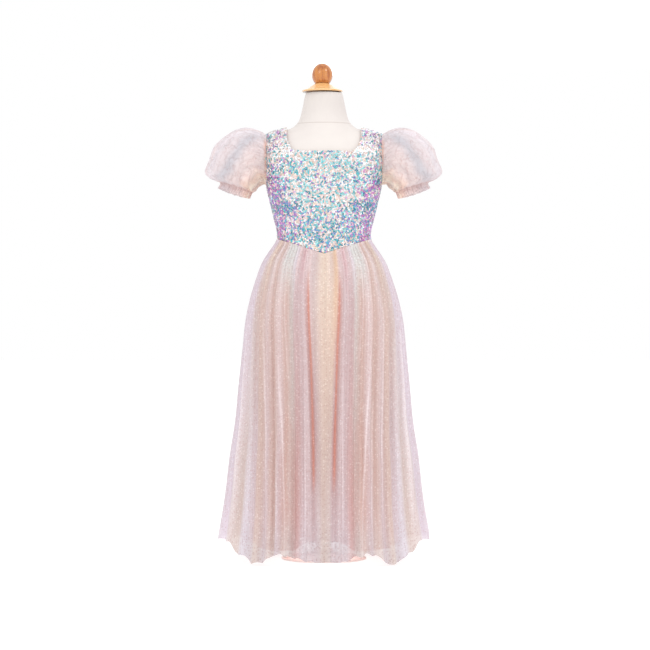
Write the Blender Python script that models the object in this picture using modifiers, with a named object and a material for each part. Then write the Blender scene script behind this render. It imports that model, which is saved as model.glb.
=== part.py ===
# Child's full-length dress-up dress, shown on a neck-block dress form.
# Tables are in millimetres, and the meshes in metres. +Z is up, the front faces -Y,
# and the origin is the middle of the stand's underside, on the floor.
import functools
import math
from collections import namedtuple

import bmesh
import bpy

MM = 0.001
COLLECTION = "dress_up_dress"

# Cloth and clearances
SEAM_GAP = 0.5
SEAT_GAP = 0.3
BODICE_OUT = 3.4
BODICE_THICK = 1.6
LINING_OUT = 2.9
TULLE_OUT = 6.5
LINING_THICK = 1.4
TULLE_THICK = 2.0
SLEEVE_THICK = 1.4

# Heights
FORM_BOTTOM = 505.0
NECK_TOP = 986.0
WAIST_SIDE = 676.3
WAIST_POINT = 644.0
WAIST_HALF = 99.0
FRONT_NECK = 858.0
BACK_NECK = 879.0

# Armhole, an ellipse seen from the side
ARMHOLE_TOP = 896.0
ARMHOLE_BOTTOM = 792.5
ARMHOLE_HALF_DEPTH = 37.5
ARMHOLE_MIDDLE = (ARMHOLE_TOP + ARMHOLE_BOTTOM) / 2
ARMHOLE_HALF_HEIGHT = (ARMHOLE_TOP - ARMHOLE_BOTTOM) / 2

# The dress form's level sections: superellipses with their own front and back depth
Level = namedtuple("Level", "z half_width front back square")
BODY = [
    Level(FORM_BOTTOM, 86, 64, 70, 2.1),
    Level(512, 96, 73, 79, 2.15),
    Level(555, 102, 78, 88, 2.2),
    Level(605, 103, 79, 90, 2.2),
    Level(645, 98, 75, 79, 2.2),
    Level(681, 95.0, 72, 71, 2.2),
    Level(695, 96.5, 73, 72, 2.25),
    Level(711, 101.0, 75, 74, 2.3),
    Level(728, 105.0, 77, 76, 2.35),
    Level(745, 109.0, 79, 77, 2.4),
    Level(762, 113.2, 81, 78, 2.5),
    Level(780, 117.2, 83, 80, 2.6),
    Level(810, 121, 84, 82, 2.8),
    Level(845, 122.5, 82, 84, 3.0),
    Level(860, 122, 77, 83, 2.9),
    Level(875, 121.4, 70, 79, 2.7),
    Level(887, 120.5, 63, 73, 2.4),
    Level(895, 118.5, 57, 68, 2.2),
    Level(901, 106, 53, 64, 2.1),
    Level(906, 88, 50.5, 61, 2.0),
    Level(910, 73, 49, 58, 2.0),
    Level(914.3, 65, 48, 55.5, 2.0),
    Level(929, 52.5, 46, 50, 2.0),
    Level(951.6, 46.3, 43, 45, 2.0),
    Level(980, 40.5, 38.5, 39.5, 2.0),
    Level(NECK_TOP, 38.5, 36.5, 37.5, 2.0),
]

# Strap's inner edge, from the neckline corner (0) over to the shoulder seam (1)
StrapEdge = namedtuple("StrapEdge", "along x")
STRAP_INNER = [
    StrapEdge(0.0, 61),
    StrapEdge(0.09, 69),
    StrapEdge(0.22, 75),
    StrapEdge(0.4, 77.8),
    StrapEdge(1.0, 79),
]
STRAP_ROWS = (0.09, 0.22, 0.4, 0.6, 0.8, 1.0)
STRAP_COLUMNS = 5
PANEL_COLUMNS = 10
STRAP_FROM_COLUMN = PANEL_COLUMNS - STRAP_COLUMNS
PANEL_LEVELS = (WAIST_SIDE, 700, 727, 753, 775, ARMHOLE_BOTTOM, 798, 807, 823, 840, FRONT_NECK)
BACK_LEVELS = (WAIST_SIDE, 700, 727, 753, 775, ARMHOLE_BOTTOM, 798, 807, 823, 845, 863, BACK_NECK)

# Skirt profile, from the waist seam (0) to the hem (1)
Profile = namedtuple("Profile", "drop half_width front back")
TULLE = [
    Profile(0.0, 96, 74, 72),
    Profile(0.014, 106, 80, 81),
    Profile(0.041, 117, 87, 91),
    Profile(0.095, 130, 95, 101),
    Profile(0.149, 142, 103, 108),
    Profile(0.203, 152.5, 112, 117),
    Profile(0.284, 163, 124, 128),
    Profile(0.365, 168, 133, 137),
    Profile(0.486, 176, 144, 149),
    Profile(0.606, 183, 153, 158),
    Profile(0.729, 195, 162, 166),
    Profile(0.849, 204, 172, 176),
    Profile(1.0, 219, 181, 185),
]
LINING = [
    Profile(0.0, 95, 72, 71),
    Profile(0.02, 98, 74.5, 76),
    Profile(0.045, 105, 80, 84),
    Profile(0.12, 121, 89, 95),
    Profile(0.22, 136, 102, 108),
    Profile(0.4, 145, 121, 126),
    Profile(1.0, 158, 148, 154),
]
TULLE_ROWS = (0.0, 0.018, 0.05, 0.13, 0.22, 0.31, 0.5, 0.75, 1.0)
WAIST_BLEND = 0.1
WAIST_SQUARE = 0.25
SQUARE_FADE = 0.3
LINING_ROWS = (0.0, 0.02, 0.06, 0.14, 0.3, 0.62, 1.0)

# Skirt folds from the centre front to the side seam: each ends in a valley.
# Angles are where that valley lies at the waist and at the hem.
Fold = namedtuple("Fold", "waist_deg hem_deg valley")
FRONT_FOLDS = [
    Fold(13.5, 4.9, 19),
    Fold(22, 11, 9),
    Fold(30.5, 17, 12),
    Fold(39, 22.5, 8),
    Fold(47.5, 29, 13),
    Fold(56, 36, 10),
    Fold(64.5, 44.5, 14),
    Fold(73, 56.5, 12),
    Fold(81.5, 73, 14),
    Fold(90, 90, 10),
]
BACK_FOLDS = [
    Fold(9, 8, 13),
    Fold(18, 17, 10),
    Fold(27, 26, 13),
    Fold(36, 35, 9),
    Fold(45, 44, 12),
    Fold(54, 53, 10),
    Fold(63, 62, 13),
    Fold(72, 71, 11),
    Fold(81, 80, 12),
    Fold(90, 90, 10),
]
LINING_FOLDS = [
    Fold(13, 8, 7),
    Fold(30, 26, 8),
    Fold(50, 46, 6),
    Fold(70, 67, 8),
    Fold(90, 90, 5),
]
FOLD_STEPS = 4
VALLEY_SHARPNESS = 2.4
GATHER_DEPTH = 1.3
LINING_GATHER = 0.3
# How much of a valley's full depth it has, from the waist (0) to the hem (1)
Growth = namedtuple("Growth", "drop share")
FOLD_GROWTH = [
    Growth(0.0, 0.0),
    Growth(0.05, 0.12),
    Growth(0.2, 0.38),
    Growth(0.5, 0.72),
    Growth(1.0, 1.0),
]

# Hem heights round from the centre front (0) to the centre back (180)
Hem = namedtuple("Hem", "deg z")
TULLE_HEM = [
    Hem(0, 10),
    Hem(9, 13),
    Hem(17, 21),
    Hem(23, 25),
    Hem(29, 23),
    Hem(35, 8),
    Hem(44, 5),
    Hem(48, 17),
    Hem(53, 21),
    Hem(57, 25),
    Hem(62, 45),
    Hem(90, 46),
    Hem(118, 41),
    Hem(140, 15),
    Hem(160, 23),
    Hem(180, 11),
]
LINING_HEM = [
    Hem(0, 53),
    Hem(12, 49),
    Hem(24, 31),
    Hem(40, 28),
    Hem(90, 41),
    Hem(150, 31),
    Hem(180, 39),
]

# Puff sleeve sections, each a tilted ring from its outer point to its underarm point
Ring = namedtuple("Ring", "outer_x outer_z under_x under_z half_depth gather")
SLEEVE = [
    Ring(122.4, 898.6, 122.0, 789.9, 40.1, 0.9),
    Ring(139.9, 909.5, 125.4, 791.2, 50, 2.4),
    Ring(165.4, 915.4, 129.0, 791.0, 60, 2.8),
    Ring(190.8, 909.9, 132.6, 789.2, 66, 3.0),
    Ring(216.2, 892.0, 136.2, 786.0, 70, 3.2),
    Ring(235.3, 872.0, 139.6, 782.6, 71, 3.4),
    Ring(244.5, 845.0, 142.6, 779.8, 67, 3.4),
    Ring(253.3, 819.5, 145.6, 777.0, 59, 3.2),
    Ring(241.7, 804.0, 148.4, 774.9, 49, 2.4),
    Ring(222.6, 796.0, 150.9, 773.4, 36, 1.2),
    Ring(226.6, 785.5, 155.6, 762.1, 41, 2.6),
]
SLEEVE_ROWS = (0.0, 0.7, 1.8, 3.0, 4.2, 5.6, 7.0, 8.0, 9.0, 10.0)
SLEEVE_GATHERS = 14

# Turned parts: (radius, height) from the top down to the axis
FINIAL_RADIUS = 21.9
FINIAL_HALF_HEIGHT = 25.1
FINIAL_CENTRE = 1024.7
CAP_TOP = 1007.2
CAP_BOTTOM = NECK_TOP + SEAT_GAP
CAP_PROFILE = (
    (15.8, CAP_TOP),
    (23.5, 1001.2),
    (32.5, 995.4),
    (42.0, 992.0),
    (43.0, 990.2),
    (41.6, 988.6),
    (36.5, 988.0),
    (34.5, CAP_BOTTOM),
)
CAP_OFFSET_X = -3.6
POLE_RADIUS = 12.5
BASE_RADIUS = 90.0
BASE_COLLAR = 24.0
BASE_PROFILE = (
    (17.5, BASE_COLLAR),
    (19.0, 22.5),
    (19.5, 11.0),
    (26.0, 8.0),
    (82.0, 4.6),
    (88.8, 3.4),
    (BASE_RADIUS, 2.0),
    (BASE_RADIUS, 0.0),
)
FORM_COLUMNS = 32
TURNED_STEPS = 28
QUARTER_STEPS = 80
EVEN_START = 1.5

# Finishes: colour, roughness, metallic
Finish = namedtuple("Finish", "colour roughness metallic")
FINISHES = {
    "sequin_cloth": Finish((0.55, 0.72, 0.78), 0.3, 0.4),
    "glitter_tulle": Finish((0.86, 0.76, 0.76), 0.6, 0.0),
    "coral_lining": Finish((0.86, 0.47, 0.38), 0.5, 0.0),
    "sleeve_organza": Finish((0.87, 0.78, 0.79), 0.55, 0.0),
    "form_jersey": Finish((0.90, 0.87, 0.84), 0.8, 0.0),
    "turned_oak": Finish((0.70, 0.42, 0.18), 0.35, 0.0),
    "turned_pine": Finish((0.80, 0.55, 0.27), 0.4, 0.0),
    "stand_enamel": Finish((0.88, 0.88, 0.87), 0.35, 0.0),
}


def clear_scene():
    for thing in list(bpy.data.objects):
        bpy.data.objects.remove(thing)


def make_collection():
    home = bpy.data.collections.new(COLLECTION)
    bpy.context.scene.collection.children.link(home)
    return home


def make_materials():
    made = {}
    for name, finish in FINISHES.items():
        material = bpy.data.materials.new(name)
        material.use_nodes = True
        shader = material.node_tree.nodes["Principled BSDF"]
        shader.inputs["Base Color"].default_value = (*finish.colour, 1.0)
        shader.inputs["Roughness"].default_value = finish.roughness
        shader.inputs["Metallic"].default_value = finish.metallic
        material.diffuse_color = (*finish.colour, 1.0)
        made[name] = material
    return made


def slopes_of(xs, ys):
    """Slopes at each entry of a table that keep the curve between entries from overshooting."""
    steps = [(ys[i + 1] - ys[i]) / (xs[i + 1] - xs[i]) for i in range(len(xs) - 1)]
    slopes = [steps[0]]
    for before, after in zip(steps, steps[1:]):
        level = before * after <= 0
        slopes.append(0.0 if level else 2 * before * after / (before + after))
    return slopes + [steps[-1]]


def read_table(table, at, column):
    """A table's column, read along its first column on a smooth curve."""
    xs = [row[0] for row in table]
    ys = [getattr(row, column) for row in table]
    at = min(max(at, xs[0]), xs[-1])
    i = max(k for k in range(len(xs) - 1) if xs[k] <= at)
    slopes = slopes_of(xs, ys)
    width = xs[i + 1] - xs[i]
    t = (at - xs[i]) / width
    rise = t * t * (3 - 2 * t)
    start = t * (1 - t) * (1 - t)
    end = t * t * (t - 1)
    return ys[i] * (1 - rise) + ys[i + 1] * rise + width * (start * slopes[i] + end * slopes[i + 1])


def body_level(z, out):
    """Half width, front depth, back depth and squareness of the body at a height, moved out."""
    low = z - out
    half_width = read_table(BODY, low, "half_width") + out
    front = read_table(BODY, low, "front") + out
    back = read_table(BODY, low, "back") + out
    return half_width, front, back, read_table(BODY, low, "square")


def body_depth(x, z, out, side):
    """Signed y of the body's surface at a given x and height. side is -1 in front, 1 behind."""
    half_width, front, back, square = body_level(z, out)
    depth = front if side < 0 else back
    reach = min(abs(x) / half_width, 1.0)
    return side * depth * (1 - reach**square) ** (1 / square)


def quarter_ring(half_width, depth, square):
    """Points (x, depth) of a quarter of a level section, from the middle to the side."""
    power = 2 / square
    turns = [math.pi / 2 * (i / QUARTER_STEPS) ** EVEN_START for i in range(QUARTER_STEPS + 1)]
    return [
        (half_width * math.sin(t) ** power, depth * max(math.cos(t), 0.0) ** power) for t in turns
    ]


@functools.lru_cache(maxsize=None)
def girth(z, out, side):
    """Running length round the body's front or back quarter at a height, with x at each length."""
    half_width, front, back, square = body_level(z, out)
    points = quarter_ring(half_width, front if side < 0 else back, square)
    run, so_far = [(0.0, 0.0)], 0.0
    for a, b in zip(points, points[1:]):
        so_far += math.dist(a, b)
        run.append((so_far, b[0]))
    return run


def between(pairs, at):
    """The second numbers of pairs, read on straight lines at a value of the first."""
    for (a, low), (b, high) in zip(pairs, pairs[1:]):
        if at <= b:
            return low + (high - low) * (at - a) / max(b - a, 1e-9)
    return pairs[-1][1]


def body_reach(y, z, out):
    """Distance from the middle plane to the body's side surface at a given y and height."""
    half_width, front, back, square = body_level(z, out)
    depth = front if y < 0 else back
    reach = min(abs(y) / depth, 1.0)
    return half_width * (1 - reach**square) ** (1 / square)


def shoulder_height(x, out):
    """Height of the shoulder ridge at a given x."""
    low, high = 870.0, NECK_TOP
    for _ in range(40):
        middle = (low + high) / 2
        if body_level(middle, out)[0] > abs(x):
            low = middle
        else:
            high = middle
    return low


def waist_height(x):
    """Waist seam of the front: a shallow V."""
    share = min(abs(x) / WAIST_HALF, 1.0)
    return WAIST_POINT + (WAIST_SIDE - WAIST_POINT) * share


def armhole_depth(z):
    """Half depth of the armhole at a height: 0 outside it."""
    level = (z - ARMHOLE_MIDDLE) / ARMHOLE_HALF_HEIGHT
    return ARMHOLE_HALF_DEPTH * math.sqrt(max(0.0, 1 - level * level))


class Cloth:
    """A patch of cloth with an outer and an inner point at each crossing of its rows and columns."""

    def __init__(self):
        self.outer = {}
        self.inner = {}
        self.quads = []

    def add(self, key, outer, inner):
        self.outer[key] = outer
        self.inner[key] = inner

    def quad(self, row, column, next_column):
        """The face between a row and the row below it in the table."""
        self.quads.append(
            ((row, column), (row, next_column), (row + 1, next_column), (row + 1, column))
        )

    def build(self, name, material, home):
        mesh = bmesh.new()
        outer = {k: mesh.verts.new([c * MM for c in p]) for k, p in self.outer.items()}
        inner = {k: mesh.verts.new([c * MM for c in p]) for k, p in self.inner.items()}
        sides = set()
        for corners in self.quads:
            a, b, c, d = corners
            across = math.dist(self.outer[a], self.outer[c]) < math.dist(self.outer[b], self.outer[d])
            for face in ((a, b, c), (a, c, d)) if across else ((a, b, d), (b, c, d)):
                mesh.faces.new([outer[k] for k in face])
                mesh.faces.new([inner[k] for k in reversed(face)])
            sides.update(zip(corners, corners[1:] + corners[:1]))
        for a, b in sides:
            if (b, a) not in sides:
                mesh.faces.new([outer[b], outer[a], inner[a], inner[b]])
        return finish_mesh(mesh, name, material, home)


def finish_mesh(mesh, name, material, home):
    """Turns a bmesh into a smooth-shaded object of the collection."""
    bmesh.ops.recalc_face_normals(mesh, faces=mesh.faces)
    data = bpy.data.meshes.new(name)
    mesh.to_mesh(data)
    mesh.free()
    data.materials.append(material)
    data.shade_smooth()
    data.set_sharp_from_angle(angle=math.radians(50))
    made = bpy.data.objects.new(name, data)
    home.objects.link(made)
    return made


def on_body(x, z, out, side):
    """A point of a bodice panel, kept off the seam between front and back."""
    y = body_depth(x, z, out, side)
    if abs(y) < SEAM_GAP / 2:
        y = side * SEAM_GAP / 2
    return x, y, z


def panel_edge(z, out, side):
    """x of a panel's outer edge: the side seam below the armhole, the armhole's edge above it."""
    return body_reach(side * armhole_depth(z), z, out)


def panel_x(share, z, out, side):
    """x at a share of the way round a panel's half, from the middle to its outer edge."""
    run = girth(z, out, side)
    edge = panel_edge(z, out, side)
    whole = between([(x, length) for length, x in run], edge)
    return edge if share == 1 else between(run, whole * share)


def panel_point(share, level, neck, out, side):
    """A point of a panel's lower part. share is 0 to 1 across, level a height at the side seam."""
    x = panel_x(share, level, out, side)
    drop = waist_height(x) - WAIST_SIDE if side < 0 else 0.0
    z = level + drop * (neck - level) / (neck - WAIST_SIDE)
    if level == WAIST_SIDE:
        z += SEAM_GAP / 2
    return on_body(x, z, out, side)


def strap_point(share, along, neck, out, side):
    """A point of a strap. share is 0 at the neckline, 1 at the armhole, along is 0 to 1 upwards."""
    climb = math.sin(along * math.pi / 2)
    inner = read_table(STRAP_INNER, along, "x")
    edge = panel_edge(neck + (ARMHOLE_TOP - neck) * climb, out, side)
    x = inner + (edge - inner) * share
    end = STRAP_INNER[-1].x
    end += (panel_edge(ARMHOLE_TOP, out, side) - end) * share
    return on_body(x, neck + (shoulder_height(end, out) - neck) * climb, out, side)


def column_share(column, neck, side):
    """Share of a panel's column across it: those from the strap's edge on line up with the strap."""
    run = [(x, length) for length, x in girth(neck, BODICE_OUT, side)]
    corner = between(run, STRAP_INNER[0].x) / between(run, panel_edge(neck, BODICE_OUT, side))
    if column <= STRAP_FROM_COLUMN:
        return corner * column / STRAP_FROM_COLUMN
    return corner + (1 - corner) * (column - STRAP_FROM_COLUMN) / STRAP_COLUMNS


def add_half_panel(cloth, hand, levels, side, first_column, middle_x):
    """Adds the half of a bodice panel on one side of the middle. hand is -1 or 1."""
    neck = levels[-1]
    faces = (BODICE_OUT, BODICE_OUT - BODICE_THICK)
    for row, level in enumerate(levels):
        for column in range(first_column, PANEL_COLUMNS + 1):
            pair = []
            for out in faces:
                x, y, z = panel_point(column_share(column, neck, side), level, neck, out, side)
                pair.append((hand * max(x, middle_x), y, z))
            cloth.add((row, hand * column), *pair)
    for step, along in enumerate(STRAP_ROWS):
        row = len(levels) + step
        for column in range(STRAP_FROM_COLUMN, PANEL_COLUMNS + 1):
            share = (column - STRAP_FROM_COLUMN) / STRAP_COLUMNS
            pair = []
            for out in faces:
                x, y, z = strap_point(share, along, neck, out, side)
                pair.append((hand * x, y, z))
            cloth.add((row, hand * column), *pair)
    for row in range(len(levels) + len(STRAP_ROWS) - 1):
        start = first_column if row < len(levels) - 1 else STRAP_FROM_COLUMN
        for column in range(start, PANEL_COLUMNS):
            ends = (column, column + 1) if hand > 0 else (-column - 1, -column)
            cloth.quad(row, *ends)


def make_bodice(materials, home):
    """Front in one piece, back in two that meet at the centre back closure."""
    front = Cloth()
    for hand in (-1, 1):
        add_half_panel(front, hand, PANEL_LEVELS, -1, 0, 0.0)
    front.build("bodice_front", materials["sequin_cloth"], home)
    for hand, name in ((1, "bodice_back_right"), (-1, "bodice_back_left")):
        back = Cloth()
        add_half_panel(back, hand, BACK_LEVELS, 1, 0, SEAM_GAP / 2)
        back.build(name, materials["sequin_cloth"], home)


def fold_columns(folds):
    """Columns from the centre to the side seam: (waist angle, hem angle, valley depth there)."""
    columns = []
    start = Fold(-folds[0].waist_deg, -folds[0].hem_deg, folds[0].valley)
    for fold in folds:
        for step in range(FOLD_STEPS):
            share = step / FOLD_STEPS
            waist = start.waist_deg + (fold.waist_deg - start.waist_deg) * share
            hem = start.hem_deg + (fold.hem_deg - start.hem_deg) * share
            valley = start.valley + (fold.valley - start.valley) * share
            notch = abs(math.cos(math.pi * share)) ** VALLEY_SHARPNESS
            if waist >= -1e-9:
                columns.append((waist, hem, valley * notch, notch))
        start = fold
    columns.append((start.waist_deg, start.hem_deg, start.valley, 1.0))
    return columns


def skirt_top(x, side):
    """Height of a skirt's top edge, just under the bodice."""
    return (waist_height(x) if side < 0 else WAIST_SIDE) - SEAM_GAP / 2


def body_ring(turned, z, side):
    """Plan position on the body at a height, an angle from the middle."""
    half_width, front, back, square = body_level(z, 0.0)
    power = 2 / square
    across = half_width * math.sin(turned) ** power
    return across, side * (front if side < 0 else back) * max(math.cos(turned), 0.0) ** power


def free_ring(table, drop, turned, side):
    """Plan position on a skirt's own ring at a drop, an angle from the middle."""
    depth = read_table(table, drop, "front" if side < 0 else "back")
    half_width = read_table(table, drop, "half_width")
    power = 2 / (2 + WAIST_SQUARE * max(0.0, 1 - drop / SQUARE_FADE))
    across = half_width * math.sin(turned) ** power
    return across, side * depth * max(math.cos(turned), 0.0) ** power


def skirt_point(table, hems, column, drop, out, gather, hand, side):
    """A point of a skirt wall. out is how far it stands off the body at the waist."""
    waist, hem, valley, notch = column
    deg = waist + (hem - waist) * (1 - (1 - drop) ** 1.6)
    turned = math.radians(deg)
    bottom = read_table(hems, deg if side < 0 else 180 - deg, "z")
    sink = gather * notch * (1 - drop) ** 4 + valley * read_table(FOLD_GROWTH, drop, "share")
    near = skirt_top(WAIST_HALF * math.sin(turned), side)
    fitted = body_ring(turned, near + (bottom - near) * drop, side)
    free = free_ring(table, drop, turned, side)
    hold = max(0.0, 1 - drop / WAIST_BLEND) ** 2
    x, y = (f * (1 - hold) + w * hold for f, w in zip(free, fitted))
    move = out - sink
    x += move * math.sin(turned)
    y += move * side * math.cos(turned)
    if deg > 90 - 1e-6:
        y = side * SEAM_GAP / 2
    top = skirt_top(x, side)
    return hand * x, y, top + (bottom - top) * drop


def make_skirt_panel(name, table, hems, folds, rows, outs, gather, side, material, home):
    """One half of a skirt, from side seam to side seam."""
    cloth = Cloth()
    half = fold_columns(folds)
    around = [(-1, column) for column in reversed(half[1:])] + [(1, column) for column in half]
    for row, drop in enumerate(rows):
        for index, (hand, column) in enumerate(around):
            pair = [
                skirt_point(table, hems, column, drop, out, gather, hand, side)
                for out in outs
            ]
            cloth.add((row, index), *pair)
    for row in range(len(rows) - 1):
        for index in range(len(around) - 1):
            cloth.quad(row, index, index + 1)
    return cloth.build(name, material, home)


def make_skirts(materials, home):
    """Gathered tulle overskirt and the plain lining that shows through it, each a front and a back."""
    tulle = (TULLE_ROWS, (TULLE_OUT, TULLE_OUT - TULLE_THICK), GATHER_DEPTH)
    lining = (LINING_ROWS, (LINING_OUT, LINING_OUT - LINING_THICK), LINING_GATHER)
    for side, end, folds in ((-1, "front", FRONT_FOLDS), (1, "back", BACK_FOLDS)):
        make_skirt_panel(
            f"skirt_tulle_{end}", TULLE, TULLE_HEM, folds, *tulle, side,
            materials["glitter_tulle"], home,
        )
        make_skirt_panel(
            f"skirt_lining_{end}", LINING, LINING_HEM, LINING_FOLDS, *lining, side,
            materials["coral_lining"], home,
        )


def ring_value(column, at):
    """A sleeve table's column at a place between sections, on a curve through the sections."""
    values = [getattr(ring, column) for ring in SLEEVE]
    last = len(values) - 1
    i = min(int(at), last - 1)
    t = at - i
    before = values[i - 1] if i else 2 * values[0] - values[1]
    after = values[i + 2] if i + 2 <= last else 2 * values[last] - values[last - 1]
    a, b = values[i], values[i + 1]
    pull = -before + 3 * a - 3 * b + after
    return a + 0.5 * t * (b - before + t * (2 * before - 5 * a + 4 * b - after + t * pull))


def sleeve_base(turn, at):
    """The puff without its gathers. turn is 0 at the outer side and half a turn at the underarm."""
    outer = ring_value("outer_x", at), ring_value("outer_z", at)
    under = ring_value("under_x", at), ring_value("under_z", at)
    swing = math.cos(turn)
    x = (outer[0] + under[0]) / 2 + (outer[0] - under[0]) / 2 * swing
    z = (outer[1] + under[1]) / 2 + (outer[1] - under[1]) / 2 * swing
    return x, ring_value("half_depth", at) * math.sin(turn), z


def cross(a, b):
    return a[1] * b[2] - a[2] * b[1], a[2] * b[0] - a[0] * b[2], a[0] * b[1] - a[1] * b[0]


def unit(vector):
    length = math.sqrt(sum(c * c for c in vector))
    return tuple(c / length for c in vector)


def sleeve_point(turn, at, sink):
    """A point of the puff, sunk below its outer face and kept off the bodice."""
    step = 0.02
    here = sleeve_base(turn, at)
    round_it = [b - a for a, b in zip(sleeve_base(turn - step, at), sleeve_base(turn + step, at))]
    low, high = max(0.0, at - step), min(len(SLEEVE) - 1, at + step)
    along = [b - a for a, b in zip(sleeve_base(turn, low), sleeve_base(turn, high))]
    free = unit(cross(along, round_it))
    flat = unit((0.0, free[1], free[2]))
    hold = max(0.0, 1 - at)
    normal = unit([f * (1 - hold) + w * hold for f, w in zip(free, flat)])
    wave = ring_value("gather", at) * (1 - math.cos(SLEEVE_GATHERS * turn)) / 2
    x, y, z = (p - (wave + sink) * n for p, n in zip(here, normal))
    seam_x = body_reach(y, z, BODICE_OUT) + SEAM_GAP
    return (seam_x if at == 0 else max(x, seam_x + at)), y, z


def make_sleeve(name, hand, material, home):
    """One puff sleeve: a tube from the armhole to the frill past its elastic."""
    cloth = Cloth()
    columns = SLEEVE_GATHERS * FOLD_STEPS
    for row, at in enumerate(SLEEVE_ROWS):
        for column in range(columns):
            turn = 2 * math.pi * column / columns
            pair = []
            for sink in (0.0, SLEEVE_THICK):
                x, y, z = sleeve_point(turn, at, sink)
                pair.append((hand * x, y, z))
            cloth.add((row, column), *pair)
    for row in range(len(SLEEVE_ROWS) - 1):
        for column in range(columns):
            cloth.quad(row, column, (column + 1) % columns)
    return cloth.build(name, material, home)


def make_form(material, home):
    """The dress form's body and neck, one smooth closed solid."""
    mesh = bmesh.new()
    rings = []
    for level in BODY:
        ring = []
        for column in range(FORM_COLUMNS):
            angle = 2 * math.pi * column / FORM_COLUMNS
            sine, cosine = math.sin(angle), math.cos(angle)
            power = 2 / level.square
            depth = level.front if cosine > 0 else level.back
            x = math.copysign(level.half_width * abs(sine) ** power, sine)
            y = -math.copysign(depth * abs(cosine) ** power, cosine)
            ring.append(mesh.verts.new((x * MM, y * MM, level.z * MM)))
        rings.append(ring)
    for low, high in zip(rings, rings[1:]):
        for i in range(FORM_COLUMNS):
            j = (i + 1) % FORM_COLUMNS
            mesh.faces.new((low[i], low[j], high[j], high[i]))
    mesh.faces.new(rings[0])
    mesh.faces.new(rings[-1])
    return finish_mesh(mesh, "form_body", material, home)


def make_turned(name, profile, material, home, offset_x=0.0):
    """A turned solid from (radius, height) points, top to bottom, closed on the axis."""
    points = [(0.0, profile[0][1]), *profile, (0.0, profile[-1][1])]
    mesh = bmesh.new()
    line = [mesh.verts.new((radius * MM, 0.0, height * MM)) for radius, height in points]
    for a, b in zip(line, line[1:]):
        mesh.edges.new((a, b))
    data = bpy.data.meshes.new(name)
    mesh.to_mesh(data)
    mesh.free()
    data.materials.append(material)
    made = bpy.data.objects.new(name, data)
    home.objects.link(made)
    made.location.x = offset_x * MM
    screw = made.modifiers.new("turn", "SCREW")
    screw.steps = screw.render_steps = TURNED_STEPS
    screw.use_merge_vertices = True
    screw.merge_threshold = 0.00001
    screw.use_smooth_shade = True
    return made


def finial_profile():
    """The egg-shaped ball, cut flat where it stands on the cap."""
    bottom = CAP_TOP + SEAT_GAP
    lowest = math.acos((bottom - FINIAL_CENTRE) / FINIAL_HALF_HEIGHT)
    steps = 9
    profile = []
    for step in range(1, steps + 1):
        angle = lowest * step / steps
        radius = FINIAL_RADIUS * math.sin(angle)
        profile.append((radius, FINIAL_CENTRE + FINIAL_HALF_HEIGHT * math.cos(angle)))
    return [(profile[0][0] * 0.3, FINIAL_CENTRE + FINIAL_HALF_HEIGHT), *profile]


def make_stand(materials, home):
    """Base, pole, body, turned neck cap and finial of the dress form."""
    make_turned("stand_base", BASE_PROFILE, materials["stand_enamel"], home)
    pole = (
        (POLE_RADIUS, FORM_BOTTOM - SEAT_GAP),
        (POLE_RADIUS, BASE_COLLAR + SEAT_GAP),
    )
    make_turned("stand_pole", pole, materials["stand_enamel"], home)
    make_form(materials["form_jersey"], home)
    make_turned("neck_cap", CAP_PROFILE, materials["turned_pine"], home, CAP_OFFSET_X)
    make_turned("neck_finial", finial_profile(), materials["turned_oak"], home, CAP_OFFSET_X)


def main():
    clear_scene()
    home = make_collection()
    materials = make_materials()
    make_stand(materials, home)
    make_bodice(materials, home)
    make_skirts(materials, home)
    for hand, name in ((1, "sleeve_right"), (-1, "sleeve_left")):
        make_sleeve(name, hand, materials["sleeve_organza"], home)


main()
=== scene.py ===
import bisect
import math
import random
from functools import partialmethod

import bmesh
import bpy
from mathutils import Matrix, Vector, noise


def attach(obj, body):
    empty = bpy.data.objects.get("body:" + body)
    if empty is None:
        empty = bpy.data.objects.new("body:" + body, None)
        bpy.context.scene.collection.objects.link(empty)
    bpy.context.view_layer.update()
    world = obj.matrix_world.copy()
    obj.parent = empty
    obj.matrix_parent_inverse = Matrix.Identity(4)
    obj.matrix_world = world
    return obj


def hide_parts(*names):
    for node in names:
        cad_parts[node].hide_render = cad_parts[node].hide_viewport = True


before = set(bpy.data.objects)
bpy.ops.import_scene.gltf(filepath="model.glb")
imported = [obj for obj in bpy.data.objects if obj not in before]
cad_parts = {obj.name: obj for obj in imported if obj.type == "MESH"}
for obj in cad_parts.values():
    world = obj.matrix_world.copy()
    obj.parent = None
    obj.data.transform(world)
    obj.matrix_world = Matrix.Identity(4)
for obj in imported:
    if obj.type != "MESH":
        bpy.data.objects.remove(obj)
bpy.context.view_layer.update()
scene = bpy.context.scene
mm = 0.001  # tables are in millimetres, the scene is in metres
halfGap = 0.25  # half of what lies between two pieces at a seam


# a smooth line through a table's stops that never swings past them
class Curve:
    def __init__(self, stops):
        self.places = list(stops)
        self.values = [stops[place] for place in self.places]
        pairs = list(zip(self.places, self.values))
        climbs = [(b[1] - a[1]) / (b[0] - a[0]) for a, b in zip(pairs, pairs[1:])]
        self.slopes = [climbs[0]]
        for before, after in zip(climbs, climbs[1:]):
            turns = before * after <= 0
            self.slopes.append(0 if turns else 2 * before * after / (before + after))
        self.slopes.append(climbs[-1])

    def __call__(self, at):
        at = min(max(at, self.places[0]), self.places[-1])
        i = min(bisect.bisect_right(self.places, at), len(self.places) - 1) - 1
        width = self.places[i + 1] - self.places[i]
        t = (at - self.places[i]) / width
        rise = t * t * (3 - 2 * t)
        pull = t * (1 - t) * ((1 - t) * self.slopes[i] - t * self.slopes[i + 1])
        return self.values[i] * (1 - rise) + self.values[i + 1] * rise + width * pull


# one curve for each column of a table
def curvesOf(table):
    columns = zip(*table.values())
    return [Curve(dict(zip(table, column))) for column in columns]


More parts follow.
